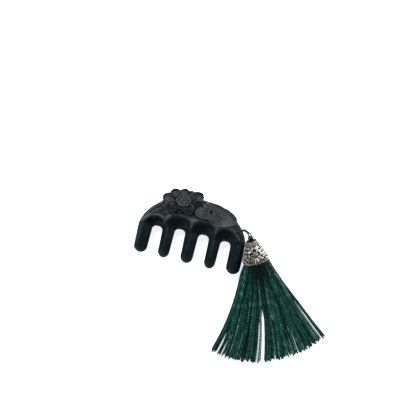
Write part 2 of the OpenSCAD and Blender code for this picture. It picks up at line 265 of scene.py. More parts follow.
def ball(at, size, segments=24, rings=16):
    """Ellipsoid by its middle and its three radii, in millimetres."""
    return primitive(
        bpy.ops.mesh.primitive_uv_sphere_add, segments=segments, ring_count=rings, radius=MM,
        location=Vector(at) * MM, scale=size,
    )


def dot(at, size):
    """Small ball with few faces, by its middle and its radius in millimetres."""
    return primitive(
        bpy.ops.mesh.primitive_ico_sphere_add, subdivisions=2, radius=size * MM, location=Vector(at) * MM
    )


def disc(radius, sides):
    """Flat face to extrude, by its radius in millimetres."""
    return primitive(
        bpy.ops.mesh.primitive_circle_add, vertices=sides, radius=radius * MM, fill_type="NGON"
    )


def grid(along, across):
    """Square sheet from -1 to 1 in that many faces."""
    return primitive(bpy.ops.mesh.primitive_grid_add, x_subdivisions=along, y_subdivisions=across, size=2)


def change(piece, kind, **settings):
    """Adds a modifier with its settings and applies it."""
    pick(piece)
    bpy.ops.object.modifier_add(type=kind)
    modifier = piece.modifiers[-1]
    for name, value in settings.items():
        setattr(modifier, name, value)
    bpy.ops.object.modifier_apply(modifier=modifier.name)
    return piece


def rename(piece, name):
    piece.name = piece.data.name = name
    return piece


def join(pieces, name="part"):
    """Makes one object of the pieces."""
    pick(*pieces)
    if len(pieces) > 1:
        bpy.ops.object.join()
    return rename(bpy.context.object, name)


def twin(piece):
    """A copy with its own mesh."""
    pick(piece)
    bpy.ops.object.duplicate()
    return bpy.context.object


def subtract(piece, tool):
    """Cuts the tool's shape out of the piece and removes the tool."""
    change(piece, "BOOLEAN", operation="DIFFERENCE", solver="MANIFOLD", object=tool)
    bpy.data.objects.remove(tool)


def drill(piece, diameter, depth, sides=32, middle=(0, 0, 0), turn=(0, 0, 0)):
    """Bores a round hole, along Z unless it is turned."""
    subtract(piece, primitive(
        bpy.ops.mesh.primitive_cylinder_add, vertices=sides, radius=diameter / 2 * MM, depth=depth * MM,
        location=Vector(middle) * MM, rotation=turn,
    ))


@contextmanager
def editing(piece, faces=None, edges=None):
    """Edit mode, with the faces or edges selected that pass the test, or all of them."""
    pick(piece)
    bpy.ops.object.mode_set(mode="EDIT")
    bpy.ops.mesh.select_mode(type="EDGE" if edges else "FACE")
    bpy.ops.mesh.select_all(action="DESELECT" if faces or edges else "SELECT")
    if faces or edges:
        bpy.ops.object.mode_set(mode="OBJECT")
        mesh = piece.data
        for face in mesh.polygons if faces else ():
            face.select = faces(face)
        for edge in mesh.edges if edges else ():
            a, b = (mesh.vertices[i].co for i in edge.vertices)
            edge.select = edges(a, b)
        bpy.ops.object.mode_set(mode="EDIT")
    yield
    bpy.ops.object.mode_set(mode="OBJECT")


def extrude(rise, scale=(1, 1), centre=(0, 0, 0)):
    """Extrudes what is selected along Z, in millimetres, and scales it about a point in metres."""
    bpy.ops.mesh.extrude_region_move(TRANSFORM_OT_translate={"value": (0, 0, rise * MM)})
    bpy.ops.transform.resize(value=(*scale, 1), center_override=centre)


def close_up(piece):
    """Merges doubles, drops faces without an area and turns the rest outwards."""
    with editing(piece):
        bpy.ops.mesh.remove_doubles(threshold=MERGE)
        bpy.ops.mesh.dissolve_degenerate(threshold=1e-6)
        bpy.ops.mesh.normals_make_consistent(inside=False)
    return piece


def thicken(sheet, deep, drawn_in=1.0):
    """Closes an open sheet with walls to a copy that many millimetres below it, drawn in towards the
    sheet's middle as if undercut."""
    corners = [Vector(corner) for corner in sheet.bound_box]
    with editing(sheet):
        bpy.ops.mesh.remove_doubles(threshold=MERGE)
        extrude(-deep, (drawn_in, drawn_in), (corners[0] + corners[6]) / 2)
    return close_up(sheet)


def hull(parts):
    piece = join(parts)
    with editing(piece):
        bpy.ops.mesh.convex_hull()
    return piece


def sculpt(piece, rule):
    """Moves each point of the mesh to where the rule puts it, in millimetres."""
    for vertex in piece.data.vertices:
        vertex.co = rule(vertex.co) * MM
    piece.data.update()
    return piece


def wire(lines, thick, taper=None):
    """Round bars of that radius along lines of points, in millimetres. With a taper, they are thinner
    over that many points at each end."""
    curve = bpy.data.curves.new("wire", "CURVE")
    curve.dimensions = "3D"
    curve.bevel_depth = thick * MM
    curve.bevel_resolution = 1
    curve.use_fill_caps = True
    for points in lines:
        line = curve.splines.new("POLY")
        line.points.add(len(points) - 1)
        for i, (point, at) in enumerate(zip(line.points, points)):
            point.co = (*(at * MM), 1)
            if taper:
                point.radius = min(1.0, 0.45 + 0.55 * min(i, len(points) - 1 - i) / taper)
    piece = bpy.data.objects.new("wire", curve)
    bpy.context.scene.collection.objects.link(piece)
    pick(piece)
    bpy.ops.object.convert(target="MESH")
    return bpy.context.object


class Surface:
    """Height of a piece's top over a point of the plan, in millimetres."""

    # Height that the rays come down from
    ABOVE = 80

    def __init__(self, piece):
        mesh = piece.data
        self.tree = BVHTree.FromPolygons([v.co for v in mesh.vertices], [f.vertices for f in mesh.polygons])

    def height(self, x, y):
        hit = self.tree.ray_cast(Vector((x, y, self.ABOVE)) * MM, -UP)[0]
        return hit.z / MM if hit else 0.0


def mix(a, b, f):
    return a + (b - a) * f


def smooth_step(f):
    f = max(0.0, min(1.0, f))
    return f * f * (3 - 2 * f)


def peak(x, middle, width):
    """1 in the middle, falling off evenly to both sides."""
    return math.exp(-((x - middle) / width) ** 2)


def polar(reach, angle):
    return Vector((reach * math.cos(angle), reach * math.sin(angle)))


def spread(start, end, count):
    """Angles in radians, evenly from one to the other in degrees."""
    return [math.radians(mix(start, end, k / (count - 1))) for k in range(count)]


def spline(points, steps):
    """Catmull-Rom points through the given ones, of any size."""
    found = []
    last = len(points) - 1
    for i in range(last):
        a, b, c, d = (Vector(points[max(0, min(k, last))]) for k in (i - 1, i, i + 1, i + 2))
        for k in range(steps):
            f = k / steps
            found.append(
                0.5 * (2 * b + (c - a) * f + (2 * a - 5 * b + 4 * c - d) * f ** 2
                       + (3 * b - a - 3 * c + d) * f ** 3)
            )
    found.append(Vector(points[-1]))
    return found


def lengths(points):
    """Length from the first point to each one."""
    gone = [0.0]
    for a, b in zip(points, points[1:]):
        gone.append(gone[-1] + (b - a).length)
    return gone


def paint_relief_shading(piece, around, cell=0.4, reach=3, gain=0.34, level=0.42):
    """Writes how far each point stands above the mean height around it, as 0 in a cut to 1 on a crest; the
    materials paint shade into the cuts and highlights onto the crests from it. The heights are read in
    square cells of that size, and the mean is over reach of them to each side."""
    margin = 2
    low = COMB_LOW - Vector((margin, margin, 0))
    shape = [int((COMB_HIGH[k] - low[k] + 2 * margin) / cell) + 1 for k in (0, 1)]
    heights = numpy.zeros(shape)

    def cells(thing):
        at = numpy.empty(3 * len(thing.data.vertices))
        thing.data.vertices.foreach_get("co", at)
        at = at.reshape(-1, 3) / MM
        column = [numpy.clip(((at[:, k] - low[k]) / cell).astype(int), 0, shape[k] - 1) for k in (0, 1)]
        return at[:, 2], tuple(column)

    for thing in around:
        z, column = cells(thing)
        numpy.maximum.at(heights, column, z)
    mean, share = heights, (heights > 0).astype(float)
    for axis in (0, 1):
        mean, share = (
            sum(numpy.roll(grid, k, axis) for k in range(-reach, reach + 1)) for grid in (mean, share)
        )
    mean = mean / numpy.maximum(share, 1)
    z, column = cells(piece)
    crest = piece.data.attributes.new("crest", "FLOAT", "POINT")
    crest.data.foreach_set("value", numpy.clip(level + gain * (z - mean[column]), 0, 1))


def finish_piece(piece, material, replaces=None, angle=None):
    """Shades the piece, gives it its material, ties it to the body and hides the CAD node that it replaces.
    """
    pick(piece)
    if angle:
        bpy.ops.object.shade_smooth_by_angle(angle=math.radians(angle))
    else:
        bpy.ops.object.shade_smooth()
    piece.data.materials.clear()
    piece.data.materials.append(material)
    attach(piece, "root")
    if replaces:
        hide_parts(replaces)


# Materials


def srgb(code):
    """Linear RGBA of an sRGB hex colour."""
    parts = [int(code[i:i + 2], 16) / 255 for i in (1, 3, 5)]
    return [c / 12.92 if c <= 0.04045 else ((c + 0.055) / 1.055) ** 2.4 for c in parts] + [1.0]


def tone_of(value):
    """RGBA of a grey level or a hex colour. A colour that is RGBA already stays as it is."""
    if isinstance(value, str):
        return srgb(value)
    return [value] * 3 + [1.0] if isinstance(value, (int, float)) else value


def apart(*sizes):
    """Scale of a pattern whose marks lie that many millimetres apart along X, Y and Z."""
    scale = [1 / (size * MM) for size in sizes]
    return scale if len(scale) > 1 else scale[0]


def new_material(name):
    material = bpy.data.materials.new(name)
    material.use_nodes = True
    tree = material.node_tree
    tree.nodes.clear()
    output = tree.nodes.new("ShaderNodeOutputMaterial")
    shader = tree.nodes.new("ShaderNodeBsdfPrincipled")
    tree.links.new(shader.outputs["BSDF"], output.inputs["Surface"])
    return material, tree, shader


def set_inputs(tree, node, inputs):
    """Sets each input of the node to its value, or links it to its socket."""
    for name, value in inputs.items():
        if isinstance(value, bpy.types.NodeSocket):
            tree.links.new(value, node.inputs[name])
        else:
            node.inputs[name].default_value = value


def add_node(tree, kind, inputs, output=0, stops=(), **settings):
    """Adds a node with its settings, inputs and colour stops, and gives its output."""
    node = tree.nodes.new("ShaderNode" + kind)
    for name, value in settings.items():
        setattr(node, name, value)
    set_inputs(tree, node, inputs)
    if stops:
        elements = node.color_ramp.elements
        while len(elements) < len(stops):
            elements.new(0.5)
        for element, (position, value) in zip(elements, stops):
            element.position = position
            element.color = tone_of(value)
    return node.outputs[output]


def polished_wood(highlight_and_spot_tint):
    """Dense near-black wood, oiled and rubbed on a cloth, with a faint blue-green cast and fine grain along
    the teeth. Soft highlights along rounded edges are painted into its colour from the crest, and the cuts
    get painted shade."""
    material, tree, shader = new_material("oiled dark wood, rubbed")
    place = add_node(tree, "TexCoord", {}, "Object")
    # Grain lines run along the teeth
    lines = add_node(tree, "Mapping", {"Vector": place, "Scale": apart(0.8, 11.1, 1.67)})
    grain = add_node(tree, "TexNoise", {"Vector": lines, "Scale": 1.0, "Detail": 5.0, "Roughness": 0.6})
    cloud = add_node(tree, "TexNoise", {"Vector": place, "Scale": apart(12.5), "Detail": 3.0})
    fine = add_node(
        tree, "ValToRGB", {"Fac": grain}, stops=[(0.30, "#02090e"), (0.55, "#06161d"), (0.80, "#0d232c")]
    )
    broad = add_node(tree, "ValToRGB", {"Fac": cloud}, stops=[(0.35, "#040e13"), (0.65, "#0c1f27")])
    colour = add_node(tree, "Mix", {"Factor": 0.5, "A": fine, "B": broad}, 2, data_type="RGBA")
    crest = add_node(tree, "Attribute", {}, "Fac", attribute_name="crest")
    # Painted highlight: the crests and the paler spots are mixed towards the pale tint
    highlight_and_pale_spots = add_node(tree, "ValToRGB", {"Fac": crest}, stops=[(0.5, 0.0), (0.95, 1.0)])
    set_inputs(tree, shader, {
        "Base Color": add_node(tree, "Mix", {"Factor": highlight_and_pale_spots, "A": colour, "B": highlight_and_spot_tint}, 2, data_type="RGBA"),
        "Roughness": add_node(tree, "ValToRGB", {"Fac": grain}, stops=[(0.25, 0.38), (0.75, 0.52)]),
        # The gouged floors reflect less than the teeth, as painted shade in the cuts
        "Specular IOR Level": add_node(tree, "ValToRGB", {"Fac": crest}, stops=[(0.10, 0.02), (0.44, 0.13)]),
        "Normal": add_node(tree, "Bump", {"Height": grain, "Strength": 0.12, "Distance": 0.2 * MM}),
        "IOR": 1.52,
    })
    return material


# Tones of the carving from painted shade at the bottom of a cut to a painted highlight on a crest
BLOOM_SHADING = [(0.08, "#010203"), (0.34, "#080d10"), (0.60, "#1a2225"), (0.98, "#4c5558")]
LEAF_SHADING = [(0.08, "#05080a"), (0.34, "#181e21"), (0.62, "#282e30"), (0.98, "#535958")]
CARVING_SHADING = [(0.08, "#010203"), (0.34, "#0a1013"), (0.60, "#1c2528"), (0.98, "#474f52")]


def carved_wood(name, tones):
    """The same wood where the tools left it: duller than the teeth, with painted shade in the cuts and
    painted highlights on the crests."""
    material, tree, shader = new_material(name)
    place = add_node(tree, "TexCoord", {}, "Object")
    # Grain lines run along the teeth, a little coarser than on the polished wood
    lines = add_node(tree, "Mapping", {"Vector": place, "Scale": apart(1.11, 6.25, 2.0)})
    grain = add_node(tree, "TexNoise", {"Vector": lines, "Scale": 1.0, "Detail": 6.0, "Roughness": 0.65})
    crest = add_node(tree, "Attribute", {}, "Fac", attribute_name="crest")
    uneven = add_node(tree, "Math", {0: grain, 1: 0.5, 2: crest}, operation="MULTIPLY_ADD")
    level = add_node(tree, "Math", {0: uneven, 1: 0.25}, operation="SUBTRACT")
    set_inputs(tree, shader, {
        # Painted shade in the cuts and painted highlights on the crests
        "Base Color": add_node(tree, "ValToRGB", {"Fac": level}, stops=tones),
        "Roughness": add_node(tree, "ValToRGB", {"Fac": grain}, stops=[(0.2, 0.42), (0.8, 0.58)]),
        "Normal": add_node(tree, "Bump", {"Height": grain, "Strength": 0.25, "Distance": 0.2 * MM}),
        "Specular IOR Level": 0.22,
        "IOR": 1.5,
    })
    return material


def antique_silver(plate):
    """Cast alloy plated in silver, blackened and rubbed back: bright on what stands out, brown-black
    in the recesses."""
    material, tree, shader = new_material("antique silver plate, rubbed back")
    place = add_node(tree, "TexCoord", {}, "Object")
    crest = add_node(tree, "Attribute", {}, "Fac", attribute_name="crest")
    # Unevenness of the casting, in fine grains
    pits = add_node(tree, "TexNoise", {"Vector": place, "Scale": apart(0.5), "Detail": 3.0})
    depth = add_node(tree, "Math", {0: pits, 1: 0.5}, operation="SUBTRACT")
    uneven = add_node(tree, "Math", {0: crest, 1: depth}, operation="ADD")
    tones = [(0.12, "#1d1916"), (0.38, "#5a524b"), (0.66, plate), (0.98, "#e2dfd8")]
    rough = [(0.15, 0.66), (0.6, 0.46), (0.95, 0.36)]
    set_inputs(tree, shader, {
        "Base Color": add_node(tree, "ValToRGB", {"Fac": uneven}, stops=tones),
        "Roughness": add_node(tree, "ValToRGB", {"Fac": uneven}, stops=rough),
        "Normal": add_node(tree, "Bump", {"Height": pits, "Strength": 0.25, "Distance": 0.1 * MM}),
        "Metallic": 0.9,
    })
    return material


def polished_black(glass):
    """Drilled bead of black glass, fire polished: a small hard highlight on black."""
    material, tree, shader = new_material("black glass, fire polished")
    place = add_node(tree, "TexCoord", {}, "Object")
    # Ripples left by the polishing fire
    ripple = add_node(tree, "TexNoise", {"Vector": place, "Scale": apart(1.54)})
    set_inputs(tree, shader, {
        "Base Color": glass,
        "Roughness": 0.08,
        "IOR": 1.52,
        "Normal": add_node(tree, "Bump", {"Height": ripple, "Strength": 0.05, "Distance": 0.2 * MM}),
    })
    return material


def spun_thread(name, tones, pitch):
    """Dyed rayon, spun and plied: dark green, lighter on each turn of the twist, with painted shade between
    the turns.
    """
    material, tree, shader = new_material(name)
    along = add_node(tree, "Attribute", {}, "Vector", attribute_name="along")
    # The length in millimetres, the way round from 0 to 1, and the thread's own tone
    length, way_round, own_tone = add_node(tree, "SeparateXYZ", {0: along}).node.outputs
    turns = add_node(tree, "Math", {0: length, 1: 1 / pitch, 2: way_round}, operation="MULTIPLY_ADD")
    angle = add_node(tree, "Math", {0: turns, 1: 2 * math.pi}, operation="MULTIPLY")
    wave = add_node(tree, "Math", {0: angle}, operation="SINE")
    ply = add_node(tree, "Math", {0: wave, 1: 0.5, 2: 0.5}, operation="MULTIPLY_ADD")
    # The tone changes every 4 to 5 mm along a thread and from each thread to the next
    run = add_node(tree, "Math", {0: length, 1: 0.22}, operation="MULTIPLY")
    row = add_node(tree, "Math", {0: own_tone, 1: 70.0}, operation="MULTIPLY")
    spot = add_node(tree, "CombineXYZ", {"X": run, "Y": row})
    noise = add_node(tree, "TexNoise", {"Vector": spot, "Scale": 1.0, "Detail": 2.0})
    paler = add_node(tree, "Math", {0: own_tone, 1: 0.42}, operation="SUBTRACT")
    tone = add_node(tree, "Math", {0: noise, 1: 1.1, 2: paler}, operation="MULTIPLY_ADD")
    base = add_node(tree, "ValToRGB", {"Fac": tone}, stops=tones)
    # Painted shade: darker between the plies, on each thread's underside and in the middle of the fan under
    # the bell, mixed towards near-black
    between = add_node(tree, "ValToRGB", {"Fac": ply}, stops=[(0.0, 0.35), (0.7, 1.0)])
    shade = add_node(tree, "Attribute", {}, "Fac", attribute_name="shade")
    lit = add_node(tree, "Math", {0: between, 1: shade}, operation="MULTIPLY")
    dark = srgb("#010b09")
    set_inputs(tree, shader, {
        "Base Color": add_node(tree, "Mix", {"Factor": lit, "A": dark, "B": base}, 2, data_type="RGBA"),
        "Normal": add_node(tree, "Bump", {"Height": ply, "Strength": 0.7, "Distance": 0.3 * MM}),
        "Roughness": 0.5,
        "IOR": 1.47,
        "Specular IOR Level": 0.14,
    })
    return material


def studio_paper():
    """Seamless matt paper, nearly white, with a tooth too fine to show. It is lit from below as on a
    product photographer's table, which lifts the shadows."""
    material, tree, shader = new_material("matt white background paper")
    place = add_node(tree, "TexCoord", {}, "Object")
    tooth = add_node(tree, "TexNoise", {"Vector": place, "Scale": apart(1.11)})
    set_inputs(tree, shader, {
        "Base Color": srgb("#f6f6f5"),
        "Roughness": 0.9,
        "Normal": add_node(tree, "Bump", {"Height": tooth, "Strength": 0.04, "Distance": 0.2 * MM}),
        "Emission Color": srgb("#f8f9fa"),
        "Emission Strength": 0.85,
    })
    return material


# Sizes and colours that a user would change


def colour_choice(name, description, code):
    return FloatVectorProperty(
        name=name, description=description, default=srgb(code), size=4, min=0, max=1, subtype="COLOR"
    )


class CombSizes(bpy.types.PropertyGroup):
    grain: FloatProperty(
        name="Carving detail", description="Size of the smallest chisel mark that is modelled",
        default=0.00046, min=0.0003, unit="LENGTH",
    )
    softening: IntProperty(
        name="Softening", description="Rounds of rubbing down after the carving", default=3, min=0
    )
    # Colour of the painted highlights on the crests and of the paler spots
    highlight_and_spot_tint: colour_choice("Worn wood", "Colour of the wood where the hand has rubbed it pale", "#40474d")


class BellSizes(bpy.types.PropertyGroup):
    plate: colour_choice("Silver", "Colour of the plate between its recesses and its crests", "#a5a098")
    glass: colour_choice("Bead", "Colour of the glass bead", "#050506")


class TasselSizes(bpy.types.PropertyGroup):
    threads: IntProperty(name="Threads", description="Threads in each layer of the fan", default=84)
    thread_d: FloatProperty(
        name="Thread diameter", description="Diameter of one thread", default=0.0013, unit="LENGTH"
    )
    length: FloatProperty(
        name="Length", description="Length of the threads below the rim", default=0.103, unit="LENGTH"
    )
    dye: colour_choice("Threads' dye", "Colour of a thread in the light", "#196059")


class CordSizes(bpy.types.PropertyGroup):
    diameter: FloatProperty(
        name="Diameter", description="Diameter of the hanging cord", default=0.0017, unit="LENGTH"
    )
    lay: FloatProperty(
        name="Lay", description="Length of one turn of the cord's plies", default=0.0042, unit="LENGTH"
    )
    dye: colour_choice("Cord's dye", "Colour of the cord in the light", "#0d2b23")


class StageSizes(bpy.types.PropertyGroup):
    view_width: FloatProperty(
        name="View width", description="Width of the surface that the camera takes in",
        default=0.400, unit="LENGTH",
    )
    elevation: FloatProperty(
        name="Elevation", description="Camera's angle above the surface",
        default=math.radians(87), subtype="ANGLE",
    )
    aim: FloatVectorProperty(
        name="Aim", description="Point of the surface in the middle of the view",
        default=(-0.0006, 0.0196, 0.010), subtype="TRANSLATION",
    )


# Operators, one for each piece or group of like pieces


class COMB_OT_stage(bpy.types.Operator):
    """Adds the surface, the soft lights and the camera"""

    bl_idname = "comb.stage"
    bl_label = "Stage, lights and camera"

    # How far the comb's long side is turned in the photo, from its run across and its drop
    TURN = math.atan2(0.235, 0.972)
    LENS = 85.0
    SENSOR = 36.0
    # A soft box at the upper left, a weaker one at the upper right and a low strip at the lower left:
    # name, place, size, power
    LIGHTS = [
        ("key_light", (-0.60, 0.70, 0.85), (0.5, 0.5), 20.0),
        ("fill_light", (0.80, 0.55, 0.70), (0.6, 0.6), 7.0),
        ("low_light", (-0.70, -0.65, 0.35), (0.6, 0.3), 2.0),
    ]
    LIGHTS_AIM = Vector((0.03, -0.02, 0))

    def floor(self):
        floor = rename(primitive(bpy.ops.mesh.primitive_plane_add, size=6), "floor")
        with editing(floor):
            bpy.ops.mesh.subdivide(number_cuts=8)
        floor.data.materials.append(studio_paper())

    def camera(self, context, sizes):
        right = Vector((math.cos(self.TURN), math.sin(self.TURN), 0))
        up_in_plan = UP.cross(right)
        back = UP * math.sin(sizes.elevation) - up_in_plan * math.cos(sizes.elevation)
        distance = sizes.view_width * self.LENS / self.SENSOR
        data = bpy.data.cameras.new("camera")
        data.lens, data.sensor_width = self.LENS, self.SENSOR
        data.clip_end = 10
        camera = bpy.data.objects.new("camera", data)
        context.scene.collection.objects.link(camera)
        turned = Matrix((right, back.cross(right), back)).transposed().to_4x4()
        camera.matrix_world = Matrix.Translation(Vector(sizes.aim) + back * distance) @ turned
        context.scene.camera = camera

    def execute(self, context):
        plain_start()
        self.floor()
        self.camera(context, context.scene.comb_stage)
        for name, at, size, power in self.LIGHTS:
            light = bpy.data.lights.new(name, "AREA")
            light.shape = "RECTANGLE"
            light.size, light.size_y = size
            light.energy = power
            lamp = bpy.data.objects.new(name, light)
            context.scene.collection.objects.link(lamp)
            lamp.location = at
            lamp.rotation_euler = (self.LIGHTS_AIM - Vector(at)).to_track_quat("-Z", "Y").to_euler()
        world = bpy.data.worlds.new("studio")
        world.use_nodes = True
        context.scene.world = world
        background = world.node_tree.nodes["Background"]
        set_inputs(world.node_tree, background, {"Color": srgb("#f4f6f8"), "Strength": 0.17})
        context.scene.view_settings.view_transform = "Standard"
        return {"FINISHED"}


class COMB_OT_cord(bpy.types.Operator):
    """Makes the two-ply cord's loop through the shoulder, the bead and the bell"""

    bl_idname = "comb.cord"
    bl_label = "Hanging cord"

    SIDES = 16
    # How much thinner the cord is between its plies, as a share of its radius
    WAIST = 0.20
    # Slant of the spun fibres in a ply, as millimetres for one turn
    PITCH = 1.4

    def execute(self, context):
        sizes = context.scene.comb_cord
        plain_start()
        path = spline(ROUTE, 10)
        gone = lengths(path)
        last = len(path) - 1
        side = UP
        frames = []
        for i in range(len(path)):
            way = (path[min(i + 1, last)] - path[max(i - 1, 0)]).normalized()
            side = (side - way * side.dot(way)).normalized()
            frames.append((side, way.cross(side)))
        # The section of a two-ply cord: a rounded figure of eight that turns along the route
        cord = grid(last, self.SIDES)
        cord.data.attributes.new("shade", "FLOAT", "POINT")
        along = cord.data.attributes.new("along", "FLOAT_VECTOR", "POINT").data
        for point in cord.data.attributes["shade"].data:
            point.value = 1.0
        for vertex in cord.data.vertices:
            i = round((vertex.co.x + 1) / 2 * last)
            angle = (vertex.co.y + 1) * math.pi
            side, up = frames[i]
            lobe = abs(math.cos(angle - 2 * math.pi * gone[i] / sizes.lay))
            radius = sizes.diameter / 2 * (1 - self.WAIST + self.WAIST * lobe)
            along[vertex.index].vector = (gone[i] / MM, angle / (2 * math.pi), 0.5)
            vertex.co = path[i] + radius * (math.cos(angle) * side + math.sin(angle) * up)
        with editing(cord):
            bpy.ops.mesh.remove_doubles(threshold=1e-7)
            bpy.ops.mesh.select_mode(type="EDGE")
            bpy.ops.mesh.select_non_manifold(extend=False)
            bpy.ops.mesh.fill_holes(sides=0)
            bpy.ops.mesh.select_all(action="SELECT")
            bpy.ops.mesh.normals_make_consistent(inside=False)
        rename(cord, "twisted_cord")
        tones = [(0.12, "#010605"), (0.40, "#051612"), (0.68, sizes.dye), (0.98, "#254b40")]
        material = spun_thread("dyed rayon cord, two-ply", tones, self.PITCH)
        finish_piece(cord, material, "hang_cord")
        return {"FINISHED"}


class COMB_OT_body(bpy.types.Operator):
    """Carves the comb's crown, gouged arches and teeth from one block"""

    bl_idname = "comb.body"
    bl_label = "Carved body"

    # Rounding of the long edges of a tooth's shaft
    EDGE = GAP_BEVEL + 1.4
    # Rounds of rubbing down where the teeth flow out of the gouges
    ROOT_ROUNDS = 24
    # How far the drill for the cord's hole stands out at both ends
    DRILL_OUT = 4

    def crown(self):
        """Dome over the comb's outline, cut off at the teeth's roots and sloped down to their face."""
        rows = spline(CROWN_LAYERS, 3)
        inset = rows[0].y
        crown = disc(1, 192)
        oval = Matrix.Diagonal((HALF_W - inset, CROWN_RISE - inset, 1, 1))
        put(crown, Matrix.Translation((0, CROWN_CY * MM, 0)) @ oval)
        slope = math.radians(FRONT_SLOPE)
        cuts = (
            (0, (0, -1, 0)),
            (ROOT_THICK - GAP_BEVEL, (0, -math.sin(slope), math.cos(slope))),
        )
        with editing(crown):
            for (z0, inset0), (z1, inset1) in zip(rows, rows[1:]):
                scale = [(half - inset1) / (half - inset0) for half in (HALF_W, CROWN_RISE)]
                extrude(z1 - z0, scale, (0, CROWN_CY * MM, z1 * MM))
            bpy.ops.mesh.select_all(action="SELECT")
            bpy.ops.mesh.normals_make_consistent(inside=False)
            for height, normal in cuts:
                bpy.ops.mesh.select_all(action="SELECT")
                bpy.ops.mesh.bisect(
                    plane_co=(0, ROOT_Y * MM, height * MM), plane_no=normal, use_fill=True, clear_outer=True
                )
        return crown

    def gap_tool(self, left, right, top_below):
        """Round-topped slot between two teeth, flared at the back and more at the front."""
        low = left[0] + left[1] / 2
        high = right[0] - right[1] / 2
        wide = high - low
        centre = Vector(((low + high) / 2, -top_below - GAP_DEEP / 2, (ROOT_THICK - GAP_BEVEL) / 2)) * MM
        tool = primitive(
            bpy.ops.mesh.primitive_cube_add, size=MM, location=centre,
            scale=(wide, GAP_DEEP, ROOT_THICK - 3 * GAP_BEVEL),
        )
        top = (-top_below - 0.01) * MM
        with editing(tool, edges=lambda a, b: a.y > top and b.y > top and abs(a.x - b.x) < 1e-6):
            bpy.ops.mesh.bevel(offset=GAP_CORNER * MM, segments=10, affect="EDGES")
        # The facing, how much wider the slot becomes on each side, and over what height
        for facing, flare, rise in ((1, 2 * GAP_BEVEL, 3 * GAP_BEVEL), (-1, GAP_BEVEL, GAP_BEVEL + 0.1)):
            with editing(tool, faces=lambda face: face.normal.z * facing > 0.9):
                extrude(facing * rise, [(size + 2 * flare) / size for size in (wide, GAP_DEEP)], centre)
        return tool

    def gouge(self, row):
        """Ball that a gouge follows, drawn out towards the teeth so that its floor runs on along them."""
        x, y, z, radius = row[:4]
        tool = ball((x, y, z), (radius,) * 3, 96, 64)
        for vertex in tool.data.vertices:
            away = vertex.co.y - y * MM
            if away < 0:
                vertex.co.y = y * MM + away * GOUGE_RUN
        return tool

    def tooth(self, row):
        """Shaft of a tooth, and the arris that runs from it up to the cusp."""
        centre, width, foot, cusp_x, cusp_y = row
        parts = [
            ball((centre + side * (width / 2 - self.EDGE), ROOT_Y + 1, z), (self.EDGE,) * 3)
            for side in (-1, 1) for z in (self.EDGE, ROOT_THICK - self.EDGE - 0.8)
        ]
        tip = (width / 2 - 0.4, TIP_ROUND, TIP_THICK / 2)
        parts.append(ball((centre, TIP_Y + TIP_ROUND, TIP_THICK / 2), tip, 48, 32))
        arris = [ball((foot, ROOT_Y, ROOT_THICK - 3), (1.5, 4, 4)) for _ in range(2)]
        shaft = hull(parts + arris[:1])
        top = ball((cusp_x, cusp_y, ROOT_THICK / 2 + 1), (1.8, 3, ROOT_THICK / 2 + 1.2))
        return shaft, hull([arris[1], top])

    def soften(self, body, rounds):
        """Rubs the whole body down, and the teeth's roots further."""
        change(body, "SMOOTH", factor=0.5, iterations=rounds)
        roots = body.vertex_groups.new(name="roots")
        for vertex in body.data.vertices:
            _, y, z = vertex.co / MM
            near = peak(y, ROOT_Y + 1, 3.2) * smooth_step((z - 7) / 3)
            if near > 0.02:
                roots.add([vertex.index], near, "REPLACE")
        change(body, "SMOOTH", factor=0.5, iterations=self.ROOT_ROUNDS, vertex_group="roots")

    def execute(self, context):
        sizes = context.scene.comb_sizes
        plain_start()
        crown = self.crown()
        for left, right, top_below in zip(TOOTH, TOOTH[1:], GAP_TOP):
            subtract(crown, self.gap_tool(left, right, top_below))
        parts = [crown]
        for row in TOOTH:
            shaft, arris = self.tooth(row)
            for gouge in GOUGE:
                x, radius = gouge[0], gouge[3]
                if abs(x - row[0]) < radius:
                    subtract(shaft, self.gouge(gouge))
            parts += [shaft, arris]
        for gouge in GOUGE:
            subtract(crown, self.gouge(gouge))
        body = join(parts, "comb_body")
        change(body, "REMESH", mode="VOXEL", voxel_size=sizes.grain, adaptivity=0.0)
        self.soften(body, sizes.softening)
        way = HOLE_SIDE - HOLE_FRONT
        turn = way.normalized().to_track_quat("Z", "Y").to_euler()
        depth = way.length + 2 * self.DRILL_OUT
        drill(body, HOLE_D, depth, middle=(HOLE_FRONT + HOLE_SIDE) / 2, turn=turn)
        finish_piece(body, polished_wood(sizes.highlight_and_spot_tint), "comb")
        return {"FINISHED"}


